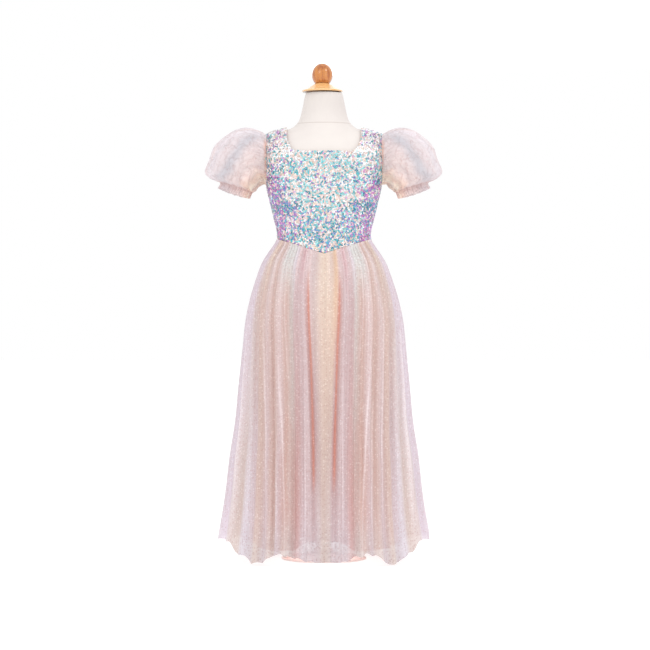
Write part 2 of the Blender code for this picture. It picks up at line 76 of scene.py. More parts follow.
def smooth(low, high, at):
    t = min(max((at - low) / (high - low), 0), 1)
    return t * t * (3 - 2 * t)


def between(a, b, share):
    return a + (b - a) * share


def blendColours(a, b, share):
    return tuple(between(x, y, share) for x, y in zip(a, b))


# 1 at the middle, falling softly to 0 a few widths away
def bell(at, middle, width):
    return math.exp(-((at - middle) / width) ** 2)


# a colour as a paint chart gives it, 0 to 255, turned to linear light
def paint(*channels):
    shares = [channel / 255 for channel in channels]
    return tuple(c / 12.92 if c <= 0.04045 else ((c + 0.055) / 1.055) ** 2.4 for c in shares)


def paintBox(**colours):
    return {name: paint(*colour) for name, colour in colours.items()}


# soft unevenness, the same on each run
def uneven(x, y=0, z=0):
    return noise.noise(Vector((x + 11.3, y + 4.7, z + 8.1)))


# unevenness round a tube, the same again after a full turn
def unevenRound(turn, scale, along):
    return uneven(math.cos(turn) * scale, math.sin(turn) * scale, along)


# a mesh of what was built, which is then let go
def intoMesh(name, built):
    data = bpy.data.meshes.new(name)
    built.to_mesh(data)
    built.free()
    return data


def linkPiece(name, data, material, node, replaces=True):
    piece = bpy.data.objects.new(name, data)
    scene.collection.objects.link(piece)
    data.materials.clear()
    data.materials.append(material)
    data.shade_smooth()
    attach(piece, "root")
    if replaces:
        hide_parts(node)
    return piece


# a woven sheet: a grid that a function puts in place. u runs round, v runs along, both 0 to 1
def weaveSheet(name, columns, rows, place, cut, tint=None, closed=False, keep=None, flip=False):
    sheet = bmesh.new()
    bmesh.ops.create_grid(sheet, x_segments=columns, y_segments=rows, size=1, calc_uvs=True)
    chart = sheet.loops.layers.uv.verify()
    for face in sheet.faces:
        for loop in face.loops:
            spot = loop.vert.co
            loop[chart].uv = ((spot.x + 1) / 2 * cut[0], (spot.y + 1) / 2 * cut[1])
    tintAndLight = sheet.verts.layers.float_color.new("tint") if tint else None
    lost = []
    for vert in sheet.verts:
        u, v = (vert.co.x + 1) / 2, (vert.co.y + 1) / 2
        if keep and not keep(u, v):
            lost.append(vert)
        if tint:
            vert[tintAndLight] = tint(u, v)
        vert.co = Vector(place(u, v)) * mm
    bmesh.ops.delete(sheet, geom=lost, context="VERTS")
    if closed:
        bmesh.ops.remove_doubles(sheet, verts=sheet.verts, dist=0.00001)
        bmesh.ops.recalc_face_normals(sheet, faces=sheet.faces)
    if flip:
        bmesh.ops.reverse_faces(sheet, faces=sheet.faces)
    return intoMesh(name, sheet)


# one socket of a material, so that shader maths reads as plain expressions
class Field:
    def __init__(self, recipe, socket):
        self.recipe = recipe
        self.socket = socket

    def maths(self, operation, *others):
        terms = dict(enumerate((self, *others)))
        return self.recipe.node("Math", {"operation": operation}, terms)

    __add__ = __radd__ = partialmethod(maths, "ADD")
    __mul__ = __rmul__ = partialmethod(maths, "MULTIPLY")
    __sub__ = partialmethod(maths, "SUBTRACT")
    __gt__ = partialmethod(maths, "GREATER_THAN")
    __lt__ = partialmethod(maths, "LESS_THAN")
    __abs__ = partialmethod(maths, "ABSOLUTE")

    def __rsub__(self, other):
        return self.recipe.node("Math", {"operation": "SUBTRACT"}, {0: other, 1: self})

    def within(self, low, high):
        return self.maths("MINIMUM", high).maths("MAXIMUM", low)

    def ramp(self, low, high):
        settings = {"interpolation_type": "SMOOTHSTEP"}
        return self.recipe.node("MapRange", settings, {0: self, 1: low, 2: high})


# a material and the nodes that it is made of
class Recipe:
    def __init__(self, name, **constants):
        self.material = bpy.data.materials.new(name)
        self.material.use_nodes = True
        self.tree = self.material.node_tree
        self.shader = self.tree.nodes["Principled BSDF"]
        for socket, value in constants.items():
            self.shader.inputs[socket.replace("_", " ")].default_value = value

    def node(self, kind, settings=None, sockets=None, output=0):
        made = self.tree.nodes.new("ShaderNode" + kind)
        for key, value in (settings or {}).items():
            setattr(made, key, value)
        for key, value in (sockets or {}).items():
            if isinstance(value, Field):
                self.tree.links.new(value.socket, made.inputs[key])
            else:
                made.inputs[key].default_value = value
        return Field(self, made.outputs[output])

    def feed(self, socket, value):
        self.tree.links.new(value.socket, self.shader.inputs[socket])

    def mixed(self, share, a, b, way="MIX"):
        colours = [(*c, 1) if isinstance(c, tuple) else c for c in (a, b)]
        settings = {"data_type": "RGBA", "blend_type": way}
        return self.node("Mix", settings, {0: share, 6: colours[0], 7: colours[1]}, 2)

    def onObject(self):
        return self.node("TexCoord", output=3)

    def onCloth(self):
        return self.node("UVMap", {"uv_map": "UVMap"})

    def height(self):
        return self.node("SeparateXYZ", None, {0: self.onObject()}, 2)

    def stretched(self, place, scale):
        return self.node("VectorMath", {"operation": "MULTIPLY"}, {0: place, 1: scale})

    def cloudy(self, place, scale, detail=2, rough=0.5):
        sockets = {"Vector": place, "Scale": scale, "Detail": detail, "Roughness": rough}
        return self.node("TexNoise", None, sockets)

    def waves(self, place, direction, scale, distortion):
        sockets = {"Vector": place, "Scale": scale, "Distortion": distortion}
        return self.node("TexWave", {"bands_direction": direction}, sockets)

    # the tint attribute: cloth and sequin colour with painted light and shade in it
    def tintAndLight(self, output=0):
        return self.node("VertexColor", {"layer_name": "tint"}, output=output)

    def bump(self, height, strength, distance):
        sockets = {"Strength": strength, "Distance": distance, "Height": height}
        self.feed("Normal", self.node("Bump", None, sockets))


print("stage and camera")

camera = {"place": (0.00212, -4.5, 0.495), "lens": 117.56, "sensor": 36, "reach": 60}
optics = bpy.data.cameras.new("camera")
optics.lens = camera["lens"]
optics.sensor_width = camera["sensor"]
optics.clip_end = camera["reach"]
eye = bpy.data.objects.new("camera", optics)
eye.location = camera["place"]
eye.rotation_euler = (math.radians(90), 0, 0)
scene.collection.objects.link(eye)
scene.camera = eye

studio = {"roomLight": 1, "floorSize": 25, "seeThrough": 24}
dress = (0, 0, 0.55)
# where each lamp stands, what it is aimed at, its size and its power
lamps = {
    "key": ((-1.9, -2.6, 2.4), dress, 1.6, 14),
    "fill": ((2.4, -2.2, 1.3), dress, 2, 6),
    "back": ((0.6, 2.8, 2.2), dress, 1.8, 8),
    "spark": ((1.52, -1.28, 2.55), dress, 0.6, 7),
    # inside the skirt, so that the stand's base isn't dark under the lifted hem
    "underHem": ((0, -0.045, 0.15), (0, -0.046, 0), 0.1, 0.2),
}
world = bpy.data.worlds.new("studio")
scene.world = world
world.use_nodes = True
room = world.node_tree.nodes["Background"].inputs
room["Color"].default_value = (1, 1, 1, 1)
room["Strength"].default_value = studio["roomLight"]
for name, (place, aim, size, power) in lamps.items():
    light = bpy.data.lights.new(name, "AREA")
    light.size = size
    light.energy = power
    stand = bpy.data.objects.new(name, light)
    stand.location = place
    stand.rotation_euler = (Vector(aim) - stand.location).to_track_quat("-Z", "Y").to_euler()
    stand.visible_camera = name != "underHem"
    scene.collection.objects.link(stand)

floorPaint = Recipe(
    "pale floor", Base_Color=(0.3, 0.3, 0.3, 1), Roughness=0.9,
    Emission_Color=(1, 1, 1, 1), Emission_Strength=0.8,
)
ground = bmesh.new()
bmesh.ops.create_grid(ground, x_segments=1, y_segments=1, size=studio["floorSize"])
data = intoMesh("floor", ground)
data.materials.append(floorPaint.material)
floor = bpy.data.objects.new("floor", data)
scene.collection.objects.link(floor)
scene.view_settings.view_transform = "Standard"
scene.cycles.transparent_max_bounces = studio["seeThrough"]

print("dress form")

form = {
    "bottom": 505, "top": 986, "shoulderFrom": 870, "columns": 96, "rows": 420, "cut": (0.6, 0.48),
    "seamHeight": 920.5, "seamDepth": 0.5, "seamWidth": 1.1, "sharpFrom": 50,
}
# height: half width, depth in front, depth behind, squareness of the section
formLevels = {
    505: (86, 64, 70, 2.1), 512: (96, 73, 79, 2.15), 555: (102, 78, 88, 2.2), 605: (103, 79, 90, 2.2),
    645: (98, 75, 79, 2.2), 681: (95, 72, 71, 2.2), 695: (96.5, 73, 72, 2.25), 711: (101, 75, 74, 2.3),
    728: (105, 77, 76, 2.35), 745: (109, 79, 77, 2.4), 762: (113.2, 81, 78, 2.5), 780: (117.2, 83, 80, 2.6),
    810: (121, 84, 82, 2.8), 845: (122.5, 82, 84, 3), 860: (122, 77, 83, 2.9), 875: (121.4, 70, 79, 2.7),
    887: (120.5, 63, 73, 2.4), 895: (118.5, 57, 68, 2.2), 901: (106, 53, 64, 2.1), 906: (88, 50.5, 61, 2),
    910: (73, 49, 58, 2), 914.3: (65, 48, 55.5, 2), 929: (52.5, 46, 50, 2), 951.6: (46.3, 43, 45, 2),
    980: (40.5, 38.5, 39.5, 2), 986: (38.5, 36.5, 37.5, 2),
}
widthCurve, frontCurve, backCurve, squareCurve = curvesOf(formLevels)


# half width, depth on that side and squareness of the form, out from its surface
def formLevel(z, out, side):
    low = z - out
    depth = (frontCurve if side < 0 else backCurve)(low)
    return widthCurve(low) + out, depth + out, squareCurve(low)


def formDepth(x, z, out, side):
    half, depth, square = formLevel(z, out, side)
    return side * depth * (1 - min(abs(x) / half, 1) ** square) ** (1 / square)


def formReach(y, z, out):
    half, depth, square = formLevel(z, out, -1 if y < 0 else 1)
    return half * (1 - min(abs(y) / depth, 1) ** square) ** (1 / square)


# a place on a quarter of a level section, at an angle from its middle line
def onSection(half, depth, square, turned):
    power = 2 / square
    return half * math.sin(turned) ** power, depth * max(math.cos(turned), 0) ** power


def formRing(turned, z, side):
    x, y = onSection(*formLevel(z, 0, side), turned)
    return x, side * y


def formPlace(u, v):
    z = between(form["bottom"], form["top"], v)
    angle = 2 * math.pi * u
    sine, cosine = math.sin(angle), math.cos(angle)
    side = -1 if cosine > 0 else 1
    half, depth, square = formLevel(z, 0, side)
    x = math.copysign(half * abs(sine) ** (2 / square), sine)
    y = side * depth * abs(cosine) ** (2 / square)
    shrink = 1 - form["seamDepth"] * bell(z, form["seamHeight"], form["seamWidth"]) / half
    return x * shrink, y * shrink, z


jersey = Recipe("form jersey", Roughness=0.82, Sheen_Weight=0.25, Sheen_Roughness=0.5)
ribs = jersey.waves(jersey.onCloth(), "X", 160, 0.4)
marks = jersey.cloudy(jersey.onObject(), 9, 3)
height = jersey.height()
seam = abs(height - form["seamHeight"] * mm).ramp(0.0014, 0.0004)
cream = jersey.mixed(marks.ramp(0.3, 0.75), paint(232, 225, 220), paint(225, 217, 213))
# painted shade: the neck darker towards its top, under the cap
cream = jersey.mixed(height.ramp(0.9, 0.98), cream, (0.925, 0.92, 0.915), "MULTIPLY")
jersey.feed("Base Color", jersey.mixed(seam * 0.35, cream, paint(176, 160, 150)))
jersey.bump(ribs + marks * 0.6, 0.12, 0.0006)

data = weaveSheet("form_body_fine", form["columns"], form["rows"], formPlace, form["cut"], closed=True)
shell = bmesh.new()
shell.from_mesh(data)
bmesh.ops.holes_fill(shell, edges=[edge for edge in shell.edges if edge.is_boundary], sides=0)
bmesh.ops.recalc_face_normals(shell, faces=shell.faces)
shell.to_mesh(data)
shell.free()
formBody = linkPiece("form_body_fine", data, jersey.material, "form_body")
data.set_sharp_from_angle(angle=math.radians(form["sharpFrom"]))


neckParts = {
    "shift": -3.6, "steps": 96, "sharpFrom": 38,
    "ballRadius": 21.9, "ballHalfHeight": 25.1, "ballCentre": 1024.7, "ballFoot": 1007.5, "ballRings": 24,
}


# a turned piece: a profile of (radius, height) spun about the neck's middle
def turnPiece(name, profile, material, node):
    lathe = bmesh.new()
    spots = [lathe.verts.new((radius * mm, 0, z * mm)) for radius, z in profile]
    for a, b in zip(spots, spots[1:]):
        lathe.edges.new((a, b))
    bmesh.ops.spin(
        lathe, geom=lathe.verts[:] + lathe.edges[:], cent=(0, 0, 0), axis=(0, 0, 1),
        angle=2 * math.pi, steps=neckParts["steps"], use_merge=True,
    )
    bmesh.ops.remove_doubles(lathe, verts=lathe.verts, dist=0.000002)
    bmesh.ops.recalc_face_normals(lathe, faces=lathe.faces)
    bmesh.ops.translate(lathe, verts=lathe.verts, vec=(neckParts["shift"] * mm, 0, 0))
    data = intoMesh(name, lathe)
    linkPiece(name, data, material, node)
    data.set_sharp_from_angle(angle=math.radians(neckParts["sharpFrom"]))


# light and dark grain in long bands along one axis, and painted shade below a height where asked
def makeWood(name, look):
    wood = Recipe(name, Roughness=look["roughness"], Coat_Weight=0.6, Coat_Roughness=0.06)
    place = wood.stretched(wood.onObject(), look["stretch"])
    bands = wood.cloudy(place, look["bandScale"], 4, 0.6)
    fibres = wood.cloudy(place, look["bandScale"] * 7, 3, 0.6)
    board = wood.mixed(bands.ramp(0.36, 0.62), look["pale"], look["deep"])
    board = wood.mixed(fibres.ramp(0.5, 0.78) * 0.45, board, look["dark"])
    # painted shade: below a height the wood takes a dark shade colour, the shadowed underside of the cap
    if "shadeBelow" in look:
        board = wood.mixed((wood.height() < look["shadeBelow"] * mm) * 0.85, board, look["underShade"])
    wood.feed("Base Color", board)
    wood.bump(fibres, 0.08, 0.0003)
    return wood.material


ballWood = makeWood("oiled oak", {
    "pale": paint(208, 134, 64), "deep": paint(172, 94, 38), "dark": paint(106, 48, 16),
    "bandScale": 150, "stretch": (1, 1, 0.07), "roughness": 0.2,
})
capWood = makeWood("waxed pine", {
    "pale": paint(252, 206, 148), "deep": paint(240, 184, 118), "dark": paint(196, 134, 78),
    "bandScale": 110, "stretch": (0.1, 1, 1), "roughness": 0.38,
    # painted shade on the cap's underside, below this height
    "underShade": paint(70, 34, 20), "shadeBelow": 988.7,
})
capCurve = [
    (0, 1007.2), (14.6, 1007.2), (15.8, 1006.6), (18.6, 1004.2), (23.5, 1001.2), (28.2, 998),
    (32.5, 995.4), (37.5, 993.4), (42, 992), (43, 991.1), (43, 990.2), (41.6, 988.6), (36.5, 988),
    (34.5, 986.3), (0, 986.3),
]
ballHalf, ballCentre = neckParts["ballHalfHeight"], neckParts["ballCentre"]
footAngle = math.acos((neckParts["ballFoot"] - ballCentre) / ballHalf)
ballCurve = [(0, ballCentre + ballHalf)]
for step in range(1, neckParts["ballRings"] + 1):
    angle = footAngle * step / neckParts["ballRings"]
    ballCurve.append((neckParts["ballRadius"] * math.sin(angle), ballCentre + ballHalf * math.cos(angle)))
ballCurve.append((0, ballCurve[-1][1]))
turnPiece("neck_cap_fine", capCurve, capWood, "neck_cap")
turnPiece("neck_finial_fine", ballCurve, ballWood, "neck_finial")

enamel = Recipe("white powder coat", Roughness=0.75, Specular_IOR_Level=0.12)
specks = enamel.cloudy(enamel.onObject(), 35, 3)
enamel.feed("Base Color", enamel.mixed(specks.ramp(0.35, 0.7), paint(250, 250, 248), paint(246, 245, 243)))
enamel.bump(specks, 0.05, 0.0004)
for name in ("stand_pole", "stand_base"):
    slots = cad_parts[name].material_slots
    if slots:
        slots[0].material = enamel.material
    else:
        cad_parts[name].data.materials.append(enamel.material)

print("bodice")

bodice = {
    "waistSide": 676.3, "waistPoint": 644, "waistHalf": 99,
    "frontNeck": 858, "backNeck": 879,
    "armholeTop": 896, "armholeBottom": 792.5, "armholeHalfDepth": 37.5,
    "clothOut": 2.9, "clothThick": 1, "strapFrom": 0.6, "girthSteps": 80,
    "halfColumns": 64, "rows": 100, "halfCut": 0.19, "cutHeight": 0.27,
}
strapInner = Curve({0: 61, 0.09: 69, 0.22: 75, 0.4: 77.8, 1: 79})


def waistHeight(x):
    return between(bodice["waistPoint"], bodice["waistSide"], min(abs(x) / bodice["waistHalf"], 1))


def armholeDepth(z):
    middle = (bodice["armholeTop"] + bodice["armholeBottom"]) / 2
    level = (z - middle) / (bodice["armholeTop"] - middle)
    return bodice["armholeHalfDepth"] * math.sqrt(max(0, 1 - level * level))


def panelEdge(z, out, side):
    return formReach(side * armholeDepth(z), z, out)


girths = {}


# running length round a quarter of the form at a height, with x at each length
def girth(z, out, side):
    z = round(z, 2)
    key = (z, out, side)
    if key not in girths:
        level = formLevel(z, out, side)
        lengths, reaches, last = [], [], None
        for step in range(bodice["girthSteps"] + 1):
            spot = onSection(*level, math.pi / 2 * (step / bodice["girthSteps"]) ** 1.5)
            lengths.append(lengths[-1] + math.dist(last, spot) if last else 0)
            reaches.append(spot[0])
            last = spot
        girths[key] = (lengths, reaches)
    return girths[key]


def readLine(places, values, at):
    i = min(max(bisect.bisect_right(places, at), 1), len(places) - 1)
    share = (at - places[i - 1]) / max(places[i] - places[i - 1], 1e-9)
    return between(values[i - 1], values[i], min(max(share, 0), 1))


def panelX(share, z, out, side):
    lengths, reaches = girth(z, out, side)
    edge = panelEdge(z, out, side)
    return edge if share == 1 else readLine(lengths, reaches, readLine(reaches, lengths, edge) * share)


# highest level at which the form's half width still reaches x, found by halving
def shoulderHeight(x, out):
    low, high = form["shoulderFrom"], form["top"]
    for _ in range(24):
        middle = (low + high) / 2
        if formLevel(middle, out, -1)[0] > abs(x):
            low = middle
        else:
            high = middle
    return low


strapTop = {}
strapShares = {}  # share of the panel at the strap's inner edge, for each side


# share is 0 at the middle and 1 at the side seam or armhole, rise 0 at the waist and 1 on the shoulder
def bodicePlace(share, rise, out, side):
    neck = bodice["frontNeck"] if side < 0 else bodice["backNeck"]
    if rise <= bodice["strapFrom"]:
        level = between(bodice["waistSide"], neck, rise / bodice["strapFrom"])
        x = panelX(share, level, out, side)
        drop = waistHeight(x) - bodice["waistSide"] if side < 0 else 0
        z = level + drop * (neck - level) / (neck - bodice["waistSide"]) + halfGap
        x *= formLevel(z, out, side)[0] / formLevel(level, out, side)[0]
    else:
        along = (rise - bodice["strapFrom"]) / (1 - bodice["strapFrom"])
        climb = math.sin(along * math.pi / 2)
        inner = strapShares[side]
        across = max((share - inner) / (1 - inner), 0)
        edge = panelEdge(between(neck, bodice["armholeTop"], climb), out, side)
        x = between(strapInner(along), edge, across)
        end = between(strapInner(1), panelEdge(bodice["armholeTop"], out, side), across)
        key = (round(across, 4), out)
        if key not in strapTop:
            strapTop[key] = shoulderHeight(end, out)
        z = between(neck, strapTop[key], climb)
    y = formDepth(x, z, out, side)
    return x, side * max(abs(y), halfGap), z


for side, neck in ((-1, bodice["frontNeck"]), (1, bodice["backNeck"])):
    lengths, reaches = girth(neck, bodice["clothOut"], side)
    whole = readLine(reaches, lengths, panelEdge(neck, bodice["clothOut"], side))
    strapShares[side] = readLine(reaches, lengths, strapInner(0)) / whole


# a fine grid's u as a share of the panel, with a column exactly on the strap's inner edge
def evenShare(u, side):
    corner = strapShares[side]
    return corner * u / 0.5 if u <= 0.5 else between(corner, 1, (u - 0.5) / 0.5)


satin = Recipe("peach satin", Roughness=0.42, Sheen_Weight=0.2)
place = satin.onCloth()
threads = satin.waves(place, "Y", 420, 0.6)
blush = satin.cloudy(place, 60, 3)
satin.feed("Base Color", satin.mixed(blush.ramp(0.3, 0.7), paint(238, 218, 212), paint(226, 200, 200)))
satin.bump(threads + blush, 0.15, 0.0003)


# hands are the sides that the panel covers: -1 is left and 1 is right
def makeBodiceCloth(name, side, hands, node):
    halves = len(hands)
    both = halves == 2

    def signedShare(u):
        return (2 * u - 1) if both else hands[0] * u

    def place(u, v):
        s = signedShare(u)
        x, y, z = bodicePlace(evenShare(abs(s), side), v, bodice["clothOut"], side)
        return math.copysign(1, s or hands[-1]) * max(x, 0 if both else halfGap), y, z

    def keep(u, v):
        return v <= bodice["strapFrom"] + 1e-6 or abs(signedShare(u)) >= 0.5 - 1e-6

    columns = bodice["halfColumns"] * halves
    cut = (bodice["halfCut"] * halves, bodice["cutHeight"])
    flip = (side > 0) != (not both and hands[0] < 0)
    data = weaveSheet(name, columns, bodice["rows"], place, cut, keep=keep, flip=flip)
    piece = linkPiece(name, data, satin.material, node)
    wall = piece.modifiers.new("wall", "SOLIDIFY")
    wall.thickness = bodice["clothThick"] * mm
    wall.offset = -1
    return piece


bodiceFront = makeBodiceCloth("bodice_front_satin", -1, (-1, 1), "bodice_front")
bodiceBackLeft = makeBodiceCloth("bodice_back_left_satin", 1, (-1,), "bodice_back_left")
bodiceBackRight = makeBodiceCloth("bodice_back_right_satin", 1, (1,), "bodice_back_right")

print("sequins")

# lengths in millimetres, tilt in degrees; stagger and jitter are shares of a stitch
sequins = {
    "rowPitch": 3.4, "pitch": 4.15, "long": 3.2, "wide": 1.35, "flatness": 0.22, "out": 3.9, "tilt": 34,
    "seed": 7, "edgeGap": 1.2, "stagger": 0.25, "jitter": 0.3, "riseJitter": 0.0026, "probe": 0.004,
}
sequinPaints = paintBox(
    teal=(80, 190, 202), deepTeal=(22, 136, 160), aqua=(150, 224, 228), ice=(244, 248, 250),
    shell=(252, 228, 222), orchid=(216, 160, 220), violet=(152, 112, 198), magenta=(206, 108, 196),
    sand=(240, 220, 200), blue=(104, 150, 206),
)
# painted reflections, where the sequins' iridescent hues and white glints gather: x, z, how far it spreads
# across and up, and what it adds
sequinReflectionPatches = [
    (88, 892, 26, 18, {"orchid": 7, "violet": 2.4, "magenta": 1.6, "ice": 20, "shell": 7}),
    (80, 864, 30, 18, {"ice": 34, "sand": 2, "shell": 11}),
    (36, 838, 46, 16, {"teal": 1.5, "aqua": 3, "ice": 2}),
    (0, 838, 50, 22, {"teal": 0.8, "aqua": 2}),
    (0, 778, 34, 40, {"ice": 2.2, "shell": 1.4}),
    (88, 740, 24, 9, {"deepTeal": 44, "teal": 5, "blue": 28, "violet": 12}),
    (104, 765, 16, 34, {"violet": 11, "orchid": 5, "magenta": 4}),
    (92, 712, 20, 26, {"violet": 8, "orchid": 5, "magenta": 6}),
    (92, 684, 15, 13, {"magenta": 8, "orchid": 5, "violet": 3}),
    (60, 716, 24, 26, {"violet": 1.6, "orchid": 1.6, "blue": 1.4}),
    (20, 690, 44, 26, {"teal": 2.6, "blue": 3, "deepTeal": 1.2, "shell": 1.6}),
]
# the sequins' own mix of colours; ice and shell here are partly painted glints
sequinGround = {
    "ice": 3.6, "shell": 2, "aqua": 1.7, "teal": 2.3, "deepTeal": 1, "orchid": 0.5, "sand": 0.8,
    "violet": 0.35, "blue": 0.4,
}


def pickSequin(x, z, chance):
    weights = dict(sequinGround)
    # painted reflection: colours weighted up by place, as the iridescence and glints fall
    for middle, height, wide, high, adds in sequinReflectionPatches:
        near = bell(abs(x), middle, wide) * bell(z, height, high)
        for name, amount in adds.items():
            weights[name] = weights.get(name, 0) + amount * near
    name = chance.choices(list(weights), list(weights.values()))[0]
    shade = chance.uniform(0.8, 1.1)
    return (*(min(c * shade, 1) for c in sequinPaints[name]), 1)


film = Recipe("sequin film", Metallic=0.35, Roughness=0.24, Coat_Weight=0.6, Coat_Roughness=0.08)
film.feed("Base Color", film.tintAndLight())


# a place on the sewn side and the direction it faces
def sewnSpot(share, rise, side, hand):
    def at(share, rise):
        return Vector(bodicePlace(share, rise, sequins["out"], side))

    step = sequins["probe"]
    here = at(share, rise)
    across = at(min(share + step, 1), rise) - at(max(share - step, 0), rise)
    up = at(share, min(rise + step, 1)) - at(share, max(rise - step, 0))
    face = across.cross(up) * -side
    face.normalize()
    for spot in (here, face):
        spot.x *= hand
    return here, face


# rows at even distances up the cloth and over the shoulder
def sequinRows(side):
    share = between(strapShares[side], 1, 0.5)
    rises = [step / 200 for step in range(201)]
    trail = [Vector(bodicePlace(share, rise, sequins["out"], side)) for rise in rises]
    lengths = [0]
    for a, b in zip(trail, trail[1:]):
        lengths.append(lengths[-1] + (b - a).length)
    number = int(lengths[-1] / sequins["rowPitch"])
    return [readLine(lengths, rises, lengths[-1] * (row + 0.5) / number) for row in range(number)]


# one sequin, a lens of sixteen faces
lens = bmesh.new()
bmesh.ops.create_uvsphere(lens, u_segments=8, v_segments=2, radius=1)
sequinMesh = intoMesh("sequin", lens)


# where a sequin lies: on the cloth, turned any way round its stitch and a little lifted at one edge
def sequinLay(spot, face, chance):
    size = chance.uniform(0.85, 1.1) * mm
    width = sequins["wide"] * size
    body = Matrix.Diagonal((sequins["long"] * size, width, width * sequins["flatness"], 1))
    spun = Matrix.Rotation(chance.uniform(0, math.pi), 4, "Z")
    lifted = chance.triangular(-sequins["tilt"], sequins["tilt"], 0)
    tilt = Matrix.Rotation(math.radians(lifted), 4, "X")
    turn = face.to_track_quat("Z", "Y").to_matrix().to_4x4()
    return Matrix.Translation((spot + face * chance.uniform(0, 0.5)) * mm) @ turn @ spun @ tilt @ body


def sewSequins(name, side, hands, node):
    chance = random.Random(sequins["seed"] + len(name))
    sewn = bmesh.new()
    sewn.verts.layers.float_color.new("tint")
    count = 0
    for row, rise in enumerate(sequinRows(side)):
        first = 0 if rise <= bodice["strapFrom"] else strapShares[side]
        shares = [between(first, 1, k / 12) for k in range(13)]
        ends = [Vector(bodicePlace(share, rise, sequins["out"], side)) for share in shares]
        length = sum((b - a).length for a, b in zip(ends, ends[1:]))
        number = max(int((length - 2 * sequins["edgeGap"]) / sequins["pitch"]), 1)
        margin = sequins["edgeGap"] / length
        stagger = sequins["stagger"] if row % 2 else -sequins["stagger"]
        strip = bmesh.new()
        tintAndLight = strip.verts.layers.float_color.new("tint")
        for hand in hands:
            for i in range(number):
                jitter = chance.uniform(-sequins["jitter"], sequins["jitter"])
                along = min(max((i + 0.5 + stagger + jitter) / number, margin), 1 - margin)
                lift = rise + chance.uniform(-sequins["riseJitter"], sequins["riseJitter"])
                lift = min(max(lift, 0.004), 0.997)
                spot, face = sewnSpot(between(first, 1, along), lift, side, hand)
                strip.from_mesh(sequinMesh, face_normals=False)
                strip.verts.ensure_lookup_table()
                disc = strip.verts[-len(sequinMesh.vertices):]
                bmesh.ops.transform(strip, matrix=sequinLay(spot, face, chance), verts=disc)
                colour = pickSequin(spot.x, spot.z, chance)
                for vert in disc:
                    vert[tintAndLight] = colour
                count += 1
        rowMesh = intoMesh("row", strip)
        sewn.from_mesh(rowMesh)
        bpy.data.meshes.remove(rowMesh)
    data = intoMesh(name, sewn)
    piece = linkPiece(name, data, film.material, node, replaces=False)
    data.shade_flat()
    print(name, count, "sequins")
    return piece


frontSequins = sewSequins("front_sequins", -1, (-1, 1), "bodice_front")
backLeftSequins = sewSequins("back_left_sequins", 1, (-1,), "bodice_back_left")
backRightSequins = sewSequins("back_right_sequins", 1, (1,), "bodice_back_right")

print("skirts")

skirt = {
    "waistBlend": 0.1, "waistSquare": 0.25, "squareFade": 0.3, "sharpness": 2.4,
    "drift": 0.16, "fanPower": 1.6, "shallower": 0.3, "slitShallower": 0.5,
}
# share of the way down: half width, depth in front, depth behind
tulleRings = curvesOf({
    0: (96, 74, 72), 0.014: (106, 80, 81), 0.041: (117, 87, 91), 0.095: (130, 95, 101),
    0.149: (142, 103, 108), 0.203: (152.5, 112, 117), 0.284: (163, 124, 128), 0.365: (168, 133, 137),
    0.486: (176, 144, 149), 0.606: (183, 153, 158), 0.729: (195, 162, 166), 0.849: (204, 172, 176),
    1: (219, 181, 185),
})
liningRings = curvesOf({
    0: (95, 72, 71), 0.02: (98, 74.5, 76), 0.045: (105, 80, 84), 0.12: (121, 89, 95),
    0.22: (136, 102, 108), 0.4: (145, 121, 126), 1: (158, 148, 154),
})
# degrees from the front: height of the hem
tulleHem = Curve({
    0: 10, 9: 13, 17: 21, 23: 25, 29: 23, 35: 8, 44: 5, 48: 17, 53: 21, 57: 25, 62: 45, 90: 46, 118: 41,
    140: 15, 160: 23, 180: 11,
})
liningHem = Curve({0: 53, 12: 49, 24: 31, 40: 28, 90: 41, 150: 31, 180: 39})
foldGrowth = Curve({0: 0, 0.05: 0.12, 0.2: 0.38, 0.5: 0.72, 1: 1})
# folds from the middle to the side seam: degrees at the waist, degrees at the hem, depth of the valley there
frontFolds = [
    (13.5, 4.9, 19), (22, 11, 5), (30.5, 17, 8), (39, 22.5, 5), (47.5, 29, 10), (56, 36, 6),
    (64.5, 44.5, 10), (73, 56.5, 7), (81.5, 73, 10), (90, 90, 8),
]
backFolds = [
    (9, 8, 13), (18, 17, 10), (27, 26, 13), (36, 35, 9), (45, 44, 12), (54, 53, 10), (63, 62, 13),
    (72, 71, 11), (81, 80, 12), (90, 90, 10),
]
liningFolds = [(13, 8, 7), (30, 26, 8), (50, 46, 6), (70, 67, 8), (90, 90, 5)]


# a fold number, 0 at the middle and a half at the first valley, as degrees and valley depth
def foldCurves(folds):
    table = {0: (0, 0, folds[0][2])}
    for i, fold in enumerate(folds):
        table[i + 0.5] = fold
    return curvesOf(table)


def skirtTop(x, side):
    return (waistHeight(x) if side < 0 else bodice["waistSide"]) - halfGap


